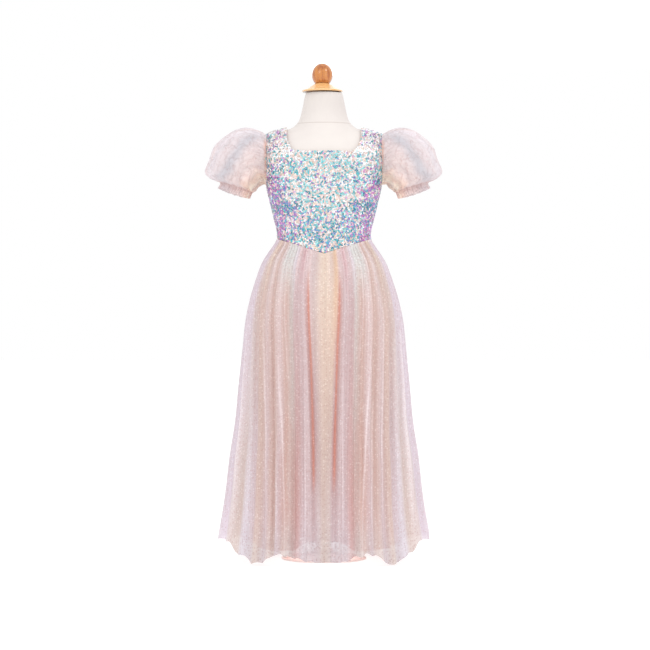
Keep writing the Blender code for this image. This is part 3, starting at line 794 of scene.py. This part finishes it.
# a place on a skirt. fold is signed, drop is 0 at the waist and 1 at the hem, rise stands out of the face
def skirtPlace(style, fold, drop, rise):
    side, hand = style["side"], math.copysign(1, fold)
    number = abs(fold)
    waist, hem, valley = (curve(number) for curve in style["folds"])
    drift = skirt["drift"] * uneven(fold * 0.8, side * 5)
    drift *= smooth(0, 0.6, number) * smooth(0, 0.5, style["last"] - number)
    notch = abs(math.sin(math.pi * (number + drift))) ** skirt["sharpness"]
    valley *= 1 - skirt["shallower"] * max(uneven(fold * 0.6, side * 8), 0)
    valley *= 1 - skirt["slitShallower"] * smooth(0.6, 0.85, drop) * (1 - smooth(0.8, 1.2, number))
    degrees = min(max(between(waist, hem, 1 - (1 - drop) ** skirt["fanPower"]), 0), 90)
    turned = math.radians(degrees)
    bottom = style["hem"](degrees if side < 0 else 180 - degrees)
    sink = style["gather"] * notch * (1 - drop) ** 4 + valley * notch * foldGrowth(drop)
    near = skirtTop(bodice["waistHalf"] * math.sin(turned), side)
    fitted = formRing(turned, between(near, bottom, drop), side)
    halfWidth, front, back = (curve(drop) for curve in style["rings"])
    square = 2 + skirt["waistSquare"] * max(0, 1 - drop / skirt["squareFade"])
    reach, depth = onSection(halfWidth, front if side < 0 else back, square, turned)
    hold = max(0, 1 - drop / skirt["waistBlend"]) ** 2
    move = style["out"] - sink + rise
    x = between(reach, fitted[0], hold) + move * math.sin(turned)
    y = between(side * depth, fitted[1], hold) + move * side * math.cos(turned)
    if degrees > 90 - 1e-6:
        y = side * halfGap
    ragged = style["ragged"] * uneven(fold * 1.7, side * 9) * drop ** 8
    return hand * x, y, between(skirtTop(x, side), bottom, drop) + ragged


def creaseAt(creases, fold, drop):
    lift = 0
    for start, end, top, low, height, width in creases:
        if top < drop < low:
            share = (drop - top) / (low - top)
            fade = math.sin(math.pi * share) ** 0.6
            lift += height * fade * bell(fold, between(start, end, share), width)
    return lift


# creases of the tulle: fold number at the top and at the bottom, where each starts and ends,
# height and width
frontCreases = [
    (3.95, 3.2, 0.33, 1.02, 2.6, 0.1), (-3.9, -3.3, 0.36, 1.02, 2.4, 0.1),
    (1.1, 1.45, 0.36, 0.93, 2, 0.09), (-1.2, -1.4, 0.4, 0.97, 2, 0.09),
    (4.45, 4.25, 0.5, 1.02, 2.4, 0.1), (-4.5, -4.2, 0.46, 0.98, 2.2, 0.11),
    (2.3, 2.05, 0.1, 0.62, -1.8, 0.12), (-2.4, -2.1, 0.06, 0.55, -1.6, 0.12),
    (5.6, 5.3, 0.2, 0.9, 2.4, 0.12), (-5.7, -5.2, 0.24, 0.95, 2.2, 0.12), (6.9, 6.4, 0.1, 0.8, -2.2, 0.14),
    (-6.8, -6.5, 0.16, 0.86, -2, 0.14), (3.2, 2.7, 0.04, 0.4, 1.5, 0.1),
    (-3.1, -2.8, 0.05, 0.46, 1.6, 0.1), (0.75, 0.8, 0.1, 0.7, 1.2, 0.07),
    (-0.8, -0.85, 0.14, 0.8, 1.2, 0.07), (7.9, 7.7, 0.3, 1.02, 2.2, 0.14),
    (-8.1, -7.8, 0.26, 1.02, 2.2, 0.14), (0.22, 0.26, 0.12, 1.02, -0.9, 0.06),
    (-0.18, -0.24, 0.2, 1.02, -0.9, 0.06),
]
backCreases = [
    (1.1, 0.9, 0.2, 0.9, 2.2, 0.12), (-1.3, -1.6, 0.3, 1.02, 2, 0.12), (2.7, 2.9, 0.1, 0.6, -1.8, 0.13),
    (-2.4, -2.6, 0.14, 0.8, -1.6, 0.12), (3.9, 4.2, 0.35, 1.02, 2.4, 0.12),
    (-4.1, -3.8, 0.3, 0.96, 2.2, 0.12), (5.3, 5.6, 0.08, 0.5, 1.6, 0.12),
    (-5.6, -5.3, 0.2, 0.85, 2.2, 0.13), (6.8, 6.6, 0.25, 1.02, -2, 0.14),
    (-7, -6.7, 0.12, 0.7, -2, 0.14), (8.1, 8, 0.3, 1.02, 2, 0.14),
    (-8.2, -8, 0.36, 1.02, 2, 0.14),
]

tullePaints = paintBox(
    cream=(224, 207, 192), lowCream=(202, 185, 178), pinkWhite=(226, 212, 212), rose=(212, 184, 184),
    lavenderWhite=(220, 212, 220), mauve=(212, 200, 205), mauveWhite=(212, 199, 203),
    mint=(214, 216, 215), coral=(228, 178, 164), palePink=(226, 214, 214), peach=(222, 206, 200),
    beige=(214, 197, 190), lavender=(222, 211, 221), dustyPink=(218, 190, 196),
    paleDusty=(224, 208, 211), amber=(238, 206, 170), greyBeige=(212, 200, 197),
)
# fold number at the waist and at the hem, the colour up there and down there, and how closely the net covers
tulleStripes = [
    (0, 0, "cream", "lowCream", 0.88), (0.26, 0.3, "cream", "greyBeige", 0.86),
    (0.4, 0.42, "pinkWhite", "mauveWhite", 0.8), (0.5, 0.5, "coral", "mauve", 0.62),
    (0.66, 0.62, "rose", "mauve", 0.68), (0.9, 0.95, "mauveWhite", "mauveWhite", 0.8),
    (1.35, 1.55, "mauveWhite", "mauve", 0.74), (1.8, 2.1, "mauve", "rose", 0.66),
    (2.1, 2.85, "mint", "greyBeige", 0.76), (2.75, 3.45, "peach", "peach", 0.64),
    (3.55, 4.1, "palePink", "mauveWhite", 0.8), (4.35, 4.7, "peach", "peach", 0.68),
    (5.1, 5.4, "palePink", "mauveWhite", 0.76), (5.8, 6, "beige", "beige", 0.8),
    (6.6, 6.9, "beige", "lavenderWhite", 0.8), (7.3, 7.6, "lavender", "beige", 0.8),
    (8.4, 8.5, "lavender", "lavender", 0.78), (9.5, 9.5, "lavenderWhite", "lavenderWhite", 0.74),
]
waistStripes = [
    (0, "cream", 0.88), (0.42, "pinkWhite", 0.8), (0.7, "paleDusty", 0.8), (1.2, "dustyPink", 0.76),
    (1.8, "paleDusty", 0.8), (2.1, "lavenderWhite", 0.88), (2.7, "mint", 0.88), (3.6, "mint", 0.84),
    (4.1, "palePink", 0.8), (4.5, "peach", 0.7), (4.9, "palePink", 0.84), (5.4, "peach", 0.7),
    (6.2, "cream", 0.84), (7.2, "lavender", 0.84), (9.5, "lavender", 0.82),
]
# rounded shapes where the net lies close on the lining: fold number, drop of the top, half width in folds
skirtArches = [(3.05, 0.54, 0.9), (3.2, 0.8, 1.4)]
# the slits beside the middle flute, which open on to the lining
slit = {
    "fold": 0.555, "width": 0.055, "widens": 0.045, "cover": 0.5,
    "colour": paint(255, 188, 170), "share": 0.85,
}
leftFlute = {"fold": -0.3, "width": 0.16, "colour": tullePaints["mauveWhite"], "share": 0.6}
amberStreak = {"fold": 0.36, "width": 0.1, "colour": tullePaints["amber"], "share": 0.8}
netLimits = {"least": 0.05, "most": 0.97, "crestMost": 0.96}
# the colour of the painted highlight on the crests of the creases
crestHighlight = paint(244, 238, 242)
# painted light on the net at the waist, where the bands below start from
waistGlow = (1.07, 1.045, 1.03)
# painted light: the net made lighter and warmer by place. What red, green and blue are multiplied by: where
# that sets in, by drop or by fold number
netGlows = [
    ("drop", 0.04, 0.34, (1.035, 0.965, 0.945)),
    ("number", 5.6, 7.6, (1.07, 1.055, 1.055)),
    ("drop", 0.72, 0.92, (1.08, 1.06, 1.065)),
]


# stops are rows of place, colour and cover
def readStripes(stops, fold):
    i = min(max(bisect.bisect_right([stop[0] for stop in stops], fold), 1), len(stops) - 1)
    a, b = stops[i - 1], stops[i]
    share = smooth(0, 1, (fold - a[0]) / max(b[0] - a[0], 1e-6))
    return (*blendColours(a[1], b[1], share), between(a[2], b[2], share))


stripeRows = {}


# the stripes' stops at one drop, kept because a whole row of the net shares them
def stripesAt(drop):
    if drop not in stripeRows:
        change = smooth(0.1, 0.9, drop)
        stripeRows[drop] = [
            (between(top, low, drop), blendColours(tullePaints[high], tullePaints[deep], change), cover)
            for top, low, high, deep, cover in tulleStripes
        ]
    return stripeRows[drop]


waistStops = [(place, tullePaints[name], cover) for place, name, cover in waistStripes]


def dyePatch(colour, patch, fold, strength=1):
    share = patch["share"] * strength * bell(fold, patch["fold"], patch["width"])
    return blendColours(colour, patch["colour"], share)


# what only the front has: the slits, a mauve flute left of the middle, the arches and an amber streak
def frontTint(colour, cover, fold, number, drop):
    width = slit["width"] + slit["widens"] * smooth(0.45, 0.62, drop)
    opened = bell(abs(fold), slit["fold"], width) * smooth(0.06, 0.2, drop) * (1 - smooth(0.7, 0.8, drop))
    cover = between(cover, slit["cover"], opened)
    colour = blendColours(colour, slit["colour"], opened * slit["share"])
    colour = dyePatch(colour, leftFlute, fold)
    for middle, top, wide in skirtArches:
        away = abs(number - middle) / wide
        inside = smooth(0, 0.025, drop - top - 0.16 * away ** 2) * (1 - smooth(0.9, 1.3, away))
        colour = blendColours(colour, tullePaints["coral"], 0.1 * inside * (1 - smooth(0.8, 1, drop)))
        cover -= 0.03 * inside
    return dyePatch(colour, amberStreak, fold, 1 - smooth(0.1, 0.5, drop)), cover


def tulleTint(fold, drop, creases, side):
    number = abs(fold + 0.1 * uneven(drop * 3, fold * 0.4, side * 3) * min(drop * 4, 1))
    mix = smooth(0.03, 0.2, drop)
    dyed = readStripes(waistStops, number)
    if mix > 0:
        dyed = blendColours(dyed, readStripes(stripesAt(drop), number), mix)
    *colour, cover = dyed
    if side < 0:
        colour, cover = frontTint(colour, cover, fold, number, drop)
    # painted highlight: crease crests blended towards near-white, and the net denser there
    crest = max(creaseAt(creases, fold, drop), 0) * 0.2
    colour = blendColours(colour, crestHighlight, min(crest, 0.6))
    cover = min(cover + crest * 0.3, netLimits["crestMost"])
    streak = uneven(fold * 6, drop * 1.6, side * 5) + 0.4 * uneven(fold * 21, drop * 2.2, side * 4)
    gather = 1.1 * uneven(fold * 26, 2, drop * 1.5) * (1 - smooth(0.08, 0.4, drop))
    lowNet = smooth(0.86, 0.97, drop)
    # painted shade and light: furrows of the waist gathers and puckers darker, their crests lighter, with
    # random streaks besides
    shade = 1 + 0.045 * streak + 0.09 * (puckerAt(fold, drop) + gather)
    shade -= 0.11 * lowNet * (1 - smooth(6.6, 8, number))
    cover = between(cover, netLimits["most"], 0.6 * lowNet) + 0.06 * streak
    # painted light: the net lighter and warmer at the waist, over the body, at the sides and at the hem
    glow = waistGlow
    for way, start, end, nextGlow in netGlows:
        glow = blendColours(glow, nextGlow, smooth(start, end, drop if way == "drop" else number))
    cover = min(max(cover, netLimits["least"]), netLimits["most"])
    return (*(min(c * shade * g, 1) for c, g in zip(colour, glow)), cover)


# fine gathers under the waist seam, -1 in a furrow and 1 on a crest, fading out downwards
def puckerAt(fold, drop):
    if drop > 0.4:
        return 0
    wobble = 0.35 * uneven(fold * 1.1, 3)
    reach = 0.09 + 0.05 * uneven(fold * 2.3, 7)
    return math.cos(2 * math.pi * (fold * 2.2 + wobble)) * math.exp(-drop / reach)


# a cloth with its side and its folds added; last is the fold number at the side seam
def styleFor(cloth, side, folds):
    return {**cloth, "side": side, "folds": foldCurves(folds), "last": len(folds) - 0.5}


tulleCloth = {
    "out": 6, "gather": 1.3, "ragged": 6, "limit": 3.2, "grid": (380, 110), "cut": (1, 0.65),
    "hem": tulleHem, "rings": tulleRings,
}
liningCloth = {
    "out": 2.6, "gather": 0.3, "ragged": 2, "limit": 1.5, "grid": (200, 90), "cut": (0.52, 0.63),
    "hem": liningHem, "rings": liningRings,
}


def makeTulle(name, side, folds, creases, node):
    style = styleFor(tulleCloth, side, folds)

    def foldOf(u):
        return (2 * u - 1) * style["last"]

    def dropOf(v):
        return (1 - v) ** 1.25

    def place(u, v):
        fold, drop = foldOf(u), dropOf(v)
        puckers = 1.2 * puckerAt(fold, drop) * smooth(0, 0.02, drop)
        soft = 2.4 * uneven(fold * 0.9, drop * 2.6, side * 7) * foldGrowth(drop)
        fine = 1.1 * uneven(fold * 3.1, drop * 4, side * 2) * foldGrowth(drop)
        rise = min(puckers + soft + fine + creaseAt(creases, fold, drop), style["limit"])
        return skirtPlace(style, fold, drop, rise)

    def tint(u, v):
        return tulleTint(foldOf(u), dropOf(v), creases, side)

    data = weaveSheet(name, *style["grid"], place, style["cut"], tint, flip=side > 0)
    return linkPiece(name, data, tulle.material, node)


def makeLining(name, side, node):
    style = styleFor(liningCloth, side, liningFolds)

    def place(u, v):
        fold, drop = (2 * u - 1) * style["last"], (1 - v) ** 1.15
        soft = 1.2 * uneven(fold * 1.3, drop * 2.2, side * 6) * foldGrowth(drop)
        return skirtPlace(style, fold, drop, min(soft, style["limit"]))

    data = weaveSheet(name, *style["grid"], place, style["cut"], flip=side > 0)
    return linkPiece(name, data, lining.material, node)


net = {"dotScale": 235, "grainScale": 260, "pleatScale": 200, "roughness": 0.55}
tulle = Recipe("glitter tulle", Roughness=net["roughness"], Sheen_Weight=0.3, Sheen_Roughness=0.4)
dots = {"Vector": tulle.onObject(), "Scale": net["dotScale"]}
dot = tulle.node("TexVoronoi", None, dots, 0).ramp(0.46, 0.26)
dotColour = tulle.node("TexVoronoi", None, dots, 1)
kind = tulle.node("SeparateColor", None, {0: dotColour}, 0)
bright = dot * (kind > 0.78)
dull = dot * (kind < 0.62)
grain = tulle.cloudy(tulle.onObject(), net["grainScale"], 3, 0.75)
pleats = tulle.cloudy(tulle.stretched(tulle.onCloth(), (1, 0.03, 1)), net["pleatScale"], 3, 0.6)
base = tulle.mixed(grain.ramp(0.35, 0.65) * 0.36, tulle.tintAndLight(), (0.84, 0.8, 0.81), "MULTIPLY")
base = tulle.mixed(pleats.ramp(0.42, 0.68) * 0.36, base, (0.88, 0.84, 0.85), "MULTIPLY")
base = tulle.mixed(dull * 0.8, base, (0.76, 0.66, 0.65), "MULTIPLY")
# painted glints: some glitter specks painted pale, partly the glitter's own colour
tulle.feed("Base Color", tulle.mixed(bright * 0.22, base, (0.95, 0.93, 0.93)))
holes = (grain - 0.5) * 0.3 + (pleats - 0.5) * 0.3 + dot * 0.12
tulle.feed("Alpha", (tulle.tintAndLight(1) + holes).within(netLimits["least"], 1))
tulle.feed("Roughness", net["roughness"] - bright * 0.3)
tulle.bump(grain * 0.4 + pleats + bright * 0.3, 0.26, 0.0008)

lining = Recipe("coral satin lining", Roughness=0.38, Sheen_Weight=0.15)
place = lining.onCloth()
sag = lining.cloudy(lining.stretched(place, (1, 0.12, 1)), 34, 3)
twill = lining.cloudy(place, 900, 2)
lining.feed("Base Color", lining.mixed(sag.ramp(0.3, 0.7), paint(236, 160, 138), paint(226, 142, 122)))
lining.bump(sag + twill * 0.2, 0.25, 0.0012)

tulleFront = makeTulle("tulle_front", -1, frontFolds, frontCreases, "skirt_tulle_front")
tulleBack = makeTulle("tulle_back", 1, backFolds, backCreases, "skirt_tulle_back")
liningFront = makeLining("lining_front", -1, "skirt_lining_front")
liningBack = makeLining("lining_back", 1, "skirt_lining_back")

print("sleeves")

# outer x and z, underarm x and z, half depth, depth of the gathers; from the armhole to the frill
sleeveRings = [
    (122.4, 898.6, 122, 789.9, 40.1, 0.9), (139.9, 909.5, 125.4, 791.2, 50, 2.4),
    (165.4, 915.4, 129, 791, 60, 2.8), (190.8, 909.9, 132.6, 789.2, 66, 3),
    (216.2, 892, 136.2, 786, 70, 3.2), (235.3, 872, 139.6, 782.6, 71, 3.4),
    (244.5, 845, 142.6, 779.8, 67, 3.4), (253.3, 819.5, 145.6, 777, 59, 3.2),
    (241.7, 804, 148.4, 774.9, 49, 2.4), (222.6, 796, 150.9, 773.4, 36, 1.2),
    (226.6, 785.5, 155.6, 762.1, 41, 2.6),
]
# elastic is its place along the sleeve, in rings; tucks are the cuff's small gathers
sleeve = {
    "gathers": 14, "tucks": 41, "bodiceOut": 3.4, "seamOut": 0.5, "columns": 196, "rows": 96,
    "cut": (0.62, 0.21), "last": 10, "elastic": 9, "pinchEnd": 9.4, "probe": 0.02,
}


def ringValue(column, at):
    values = [ring[column] for ring in sleeveRings]
    last = len(values) - 1
    i = min(int(at), last - 1)
    t = at - i
    a, b = values[i], values[i + 1]
    before = values[i - 1] if i else 2 * a - b
    after = values[i + 2] if i + 2 <= last else 2 * b - a
    pull = -before + 3 * a - 3 * b + after
    return a + 0.5 * t * (b - before + t * (2 * before - 5 * a + 4 * b - after + t * pull))


# the puff without its gathers. turn is 0 on top and half a turn at the underarm
def sleeveBase(turn, at):
    outerX, outerZ, underX, underZ, depth = (ringValue(column, at) for column in range(5))
    swing = math.cos(turn)
    x = (outerX + underX) / 2 + (outerX - underX) / 2 * swing
    z = (outerZ + underZ) / 2 + (outerZ - underZ) / 2 * swing
    return Vector((x, depth * math.sin(turn), z))


def sleevePlace(turn, at, hand):
    step = sleeve["probe"]
    roundIt = sleeveBase(turn + step, at) - sleeveBase(turn - step, at)
    along = sleeveBase(turn, min(sleeve["last"], at + step)) - sleeveBase(turn, max(0, at - step))
    free = along.cross(roundIt).normalized()
    flat = Vector((0, free.y, free.z)).normalized()
    spread = min(at, 1)
    normal = between(flat, free, spread).normalized()
    gathers = ringValue(5, at) * (1 - math.cos(sleeve["gathers"] * turn)) / 2
    pinch = math.exp(-at / 1.6) + math.exp(-max(sleeve["pinchEnd"] - at, 0) / 1.1)
    lumps = 2.4 * unevenRound(turn, 2.6, at * 0.45 + hand * 4)
    lumps *= smooth(1, 3, at) * (1 - smooth(7.5, 9, at))
    fine = 1.3 * unevenRound(turn * 2 + at * 0.12, 5, at * 0.35 + hand * 3)
    crinkle = 0.9 * unevenRound(turn, 11, at * 0.8 + hand * 5)
    tiny = 0.9 * math.sin(sleeve["tucks"] * turn + 2 * uneven(at, turn)) * pinch
    sink = gathers + (0.9 * (1.4 + fine + crinkle + lumps) + 0.7 + tiny) * spread
    spot = sleeveBase(turn, at) - normal * sink
    seam = formReach(spot.y, spot.z, sleeve["bodiceOut"]) + sleeve["seamOut"]
    x = seam if at == 0 else max(spot.x, seam + at)
    return hand * x, spot.y, spot.z


sleevePaints = paintBox(
    lilac=(246, 240, 246), greyBlue=(192, 200, 212), pink=(246, 232, 233), palePink=(246, 230, 228),
    peach=(252, 220, 202), cream=(252, 230, 212), ruche=(214, 176, 170), seam=(250, 196, 172),
)
# degrees round from the top: colour, and how closely the cloth covers
sleeveStripes = [
    (0, "lilac", 0.86), (22, "pink", 0.86), (30, "lilac", 0.86), (70, "pink", 0.84), (110, "palePink", 0.82),
    (140, "peach", 0.82), (152, "cream", 0.9), (168, "peach", 0.8), (180, "peach", 0.8),
]
sleeveStops = [(degrees, sleevePaints[name], cover) for degrees, name, cover in sleeveStripes]
# the grey-blue stripe's degrees round, by its place along the sleeve
stripeTurn = Curve({0: 37, 5: 78, 9: 60, 10: 60})


def sleeveTint(turn, at):
    degrees = math.degrees(turn)
    degrees = min(degrees, 360 - degrees)
    place = degrees + 7 * uneven(turn * 1.3, at * 0.7)
    *colour, cover = readStripes(sleeveStops, min(max(place, 0), 180))
    stripe = 0.62 * bell(place, stripeTurn(at), 14)
    stripe *= smooth(0, 2.2, at) * (1 - 0.6 * smooth(7, 9, at))
    # painted shade: darker in the ruffles at the elastic and in the frill beyond it
    ruche = 0.55 * bell(at, sleeve["elastic"], 0.35) + 0.2 * smooth(sleeve["elastic"], sleeve["last"], at)
    seamGlow = 0.7 * (1 - smooth(0.05, 0.5, at)) * smooth(20, 60, degrees)
    for name, share in (("greyBlue", stripe), ("ruche", ruche), ("seam", seamGlow)):
        colour = blendColours(colour, sleevePaints[name], share)
    # painted shade and light: the frill's tucks darker and lighter by turns, and the underside painted
    # lighter against its shade
    frill = 0.05 * math.cos(sleeve["tucks"] * turn) * smooth(8.4, 9.2, at)
    mottle = 0.07 * unevenRound(turn, 8, at * 0.6) + 0.07 * unevenRound(turn, 26, at * 0.35)
    shade = 0.98 + frill + 0.13 * smooth(105, 145, degrees) + mottle
    return (*(min(c * shade, 1) for c in colour), cover)


organza = Recipe("crinkled organza", Roughness=0.5, Sheen_Weight=0.35, Sheen_Roughness=0.35)
place = organza.onCloth()
crush = organza.cloudy(organza.stretched(place, (1, 0.16, 1)), 190, 4, 0.65)
crinkle = organza.cloudy(organza.onObject(), 230, 4, 0.75)
threads = organza.cloudy(place, 900, 2)
creaseCloud = organza.cloudy(organza.stretched(organza.onObject(), (1, 1, 0.7)), 34, 2, 0.6)
fineCloud = organza.cloudy(organza.onObject(), 95, 2, 0.6)
creases = abs(creaseCloud - 0.5).ramp(0.02, 0) * 0.6 + abs(fineCloud - 0.5).ramp(0.035, 0) * 0.5
base = organza.mixed(crush.ramp(0.4, 0.64) * 0.5, organza.tintAndLight(), (0.92, 0.84, 0.83), "MULTIPLY")
# painted shade: the cloth darkened along thin crease lines
base = organza.mixed(creases * 0.7, base, (0.84, 0.71, 0.69), "MULTIPLY")
base = organza.mixed(crinkle.ramp(0.42, 0.6) * 0.6, base, (0.89, 0.83, 0.83), "MULTIPLY")
organza.feed("Base Color", base)
thin = (crush - 0.5) * 0.4 + (crinkle - 0.5) * 0.3
organza.feed("Alpha", (organza.tintAndLight(1) + thin).within(0.2, 1))
organza.bump(crush + crinkle * 0.5 + threads * 0.2 + creases, 0.6, 0.002)


def makeSleeve(name, hand, node):
    def turnOf(u):
        return 2 * math.pi * (1 - u)

    def place(u, v):
        return sleevePlace(turnOf(u), sleeve["last"] * v, hand)

    def tint(u, v):
        return sleeveTint(turnOf(u), sleeve["last"] * v)

    data = weaveSheet(name, sleeve["columns"], sleeve["rows"], place, sleeve["cut"], tint, closed=True)
    return linkPiece(name, data, organza.material, node)


sleeveLeft = makeSleeve("puff_left", -1, "sleeve_left")
sleeveRight = makeSleeve("puff_right", 1, "sleeve_right")

# for each tulle and its lining, a number is worked out from the tulle's height and not kept
for panel, height, under in ((tulleFront, 0.65, liningFront), (tulleBack, 0.67, liningBack)):
    1.0 * height * 0.62

print("finished")
